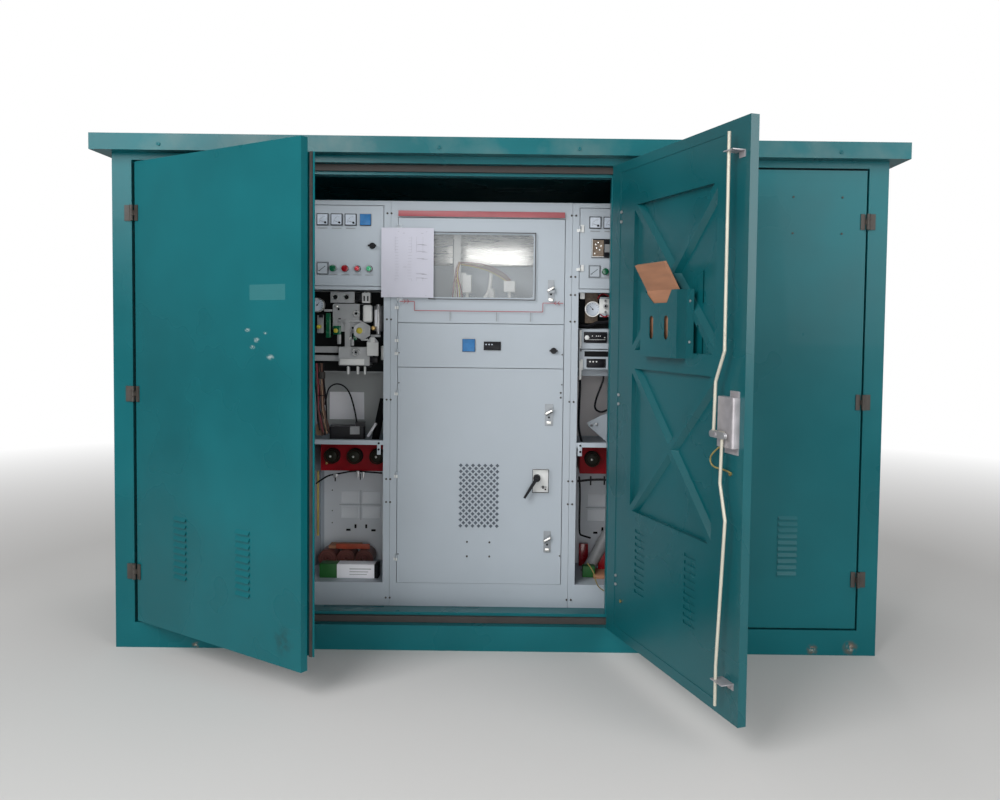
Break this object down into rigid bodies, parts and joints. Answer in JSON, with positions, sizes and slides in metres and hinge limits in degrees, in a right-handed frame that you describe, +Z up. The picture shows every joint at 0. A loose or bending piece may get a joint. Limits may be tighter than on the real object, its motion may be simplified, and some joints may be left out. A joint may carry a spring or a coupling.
{
  "type": "outdoor gas insulated switchgear kiosk",
  "caption": "Sheet-steel outdoor switchgear kiosk with flat roof, louvred hinged front doors, and metal-enclosed gas insulated breaker cubicles inside.",
  "frame": {"origin": "centre of the base on the ground, which is the centre of the four anchor holes", "axes": "+X to the right as seen from the front, +Y from the door side to the back, +Z up"},
  "size_m": [3.11, 2.2666, 1.992],
  "materials": {
    "black_plastic": "matt",
    "cardboard": "brown card",
    "cubicle_paint": "satin",
    "dark_hinge": "satin",
    "glass": "clear",
    "kiosk_paint": "satin",
    "red_paint": "satin",
    "seal": "matt",
    "tape": "matt",
    "white_plastic": "satin",
    "zinc": "galvanised"
  },
  "bodies": {
    "kiosk": {"base_frame": "kiosk_paint", "floor_plate": "kiosk_paint", "frame_posts": "kiosk_paint", "head_rail": "kiosk_paint", "side_wall_left": "kiosk_paint", "side_wall_right": "kiosk_paint", "back_wall": "kiosk_paint", "roof": "kiosk_paint", "door_stops": "kiosk_paint", "frame_seals": "seal", "post_hinges": "dark_hinge", "cubicle_left": "cubicle_paint", "cubicle_middle": "cubicle_paint", "cubicle_right": "cubicle_paint", "cubicle_hinges": "white_plastic", "mechanism_left": "zinc", "mechanism_cylinder": "zinc", "gauges": "zinc", "relay_rack_right": "cubicle_paint", "relay_modules": "black_plastic", "gusset_right": "cubicle_paint", "bushing_boxes": "red_paint", "bushings": "black_plastic", "control_pack": "black_plastic", "tape_rolls": "tape", "carton": "cardboard", "window_fittings": "white_plastic"},
    "door_left": {"leaf_left": "kiosk_paint", "inner_sheet_left": "kiosk_paint", "hinges_left": "dark_hinge", "astragal": "kiosk_paint", "astragal_seal": "seal"},
    "door_middle": {"leaf_middle": "kiosk_paint", "inner_sheet_middle": "kiosk_paint", "hinges_middle": "dark_hinge", "document_pocket": "kiosk_paint", "document_folder": "cardboard", "lock_box": "zinc"},
    "door_right": {"leaf_right": "kiosk_paint", "inner_sheet_right": "kiosk_paint", "hinges_right": "dark_hinge"},
    "crank": {"lock_crank": "zinc"},
    "upper_rod": {"rod_upper": "zinc"},
    "lower_rod": {"rod_lower": "zinc"},
    "window_cover": {"window_door": "cubicle_paint", "window_pane": "glass", "window_latch": "zinc"},
    "strip_cover": {"strip_door": "cubicle_paint", "strip_fittings": "black_plastic"},
    "lower_cover": {"lower_door": "cubicle_paint", "door_grille": "cubicle_paint", "handle_plate": "zinc", "lower_latches": "zinc"},
    "instrument_panel_left": {"panel_left": "cubicle_paint", "instruments_left": "black_plastic"},
    "instrument_panel_right": {"panel_right": "cubicle_paint", "instruments_right": "black_plastic"},
    "switch_lever": {"lever": "black_plastic"}
  },
  "joints": [
    {"name": "left_door_hinge", "type": "hinge", "parent": "kiosk", "child": "door_left", "pos_m": [-1.416, -0.662, 0], "axis": [0, 0, -1], "range_deg": [-33.9, 76.1]},
    {"name": "middle_door_hinge", "type": "hinge", "parent": "kiosk", "child": "door_middle", "pos_m": [0.467, -0.662, 0], "axis": [0, 0, 1], "range_deg": [-110, 0]},
    {"name": "right_door_hinge", "type": "hinge", "parent": "kiosk", "child": "door_right", "pos_m": [1.416, -0.662, 0], "axis": [0, 0, 1], "range_deg": [0, 110]},
    {"name": "window_hinge", "type": "hinge", "parent": "kiosk", "child": "window_cover", "pos_m": [-0.43025, -0.408, 0], "axis": [0, 0, -1], "range_deg": [0, 95]},
    {"name": "strip_hinge", "type": "hinge", "parent": "kiosk", "child": "strip_cover", "pos_m": [-0.43025, -0.408, 0], "axis": [0, 0, -1], "range_deg": [0, 95]},
    {"name": "lower_hinge", "type": "hinge", "parent": "kiosk", "child": "lower_cover", "pos_m": [-0.43025, -0.408, 0], "axis": [0, 0, -1], "range_deg": [0, 95]},
    {"name": "panel_left_hinge", "type": "hinge", "parent": "kiosk", "child": "instrument_panel_left", "pos_m": [-0.80525, -0.408, 0], "axis": [0, 0, -1], "range_deg": [0, 95]},
    {"name": "panel_right_hinge", "type": "hinge", "parent": "kiosk", "child": "instrument_panel_right", "pos_m": [0.31975, -0.408, 0], "axis": [0, 0, -1], "range_deg": [0, 24]},
    {"name": "lever_turn", "type": "hinge", "parent": "lower_cover", "child": "switch_lever", "pos_m": [0.155, -0.4, 0.652], "axis": [0, 1, 0], "range_deg": [0, 90]},
    {"name": "crank_turn", "type": "hinge", "parent": "door_middle", "child": "crank", "pos_m": [0.68886, -1.48208, 0.966], "axis": [0.9397, 0.342, 0], "range_deg": [0, 45]},
    {"name": "rod_upper_slide", "type": "slide", "parent": "door_middle", "child": "upper_rod", "axis": [0, 0, 1], "range_m": [0, 0.01697]},
    {"name": "rod_lower_slide", "type": "slide", "parent": "door_middle", "child": "lower_rod", "axis": [0, 0, -1], "range_m": [0, 0.01697]}
  ],
  "couplings": [
    {"joint": "crank_turn", "follows": "rod_upper_slide", "rad_per_m": 46.28},
    {"joint": "rod_lower_slide", "follows": "rod_upper_slide", "ratio": 1}
  ]
}
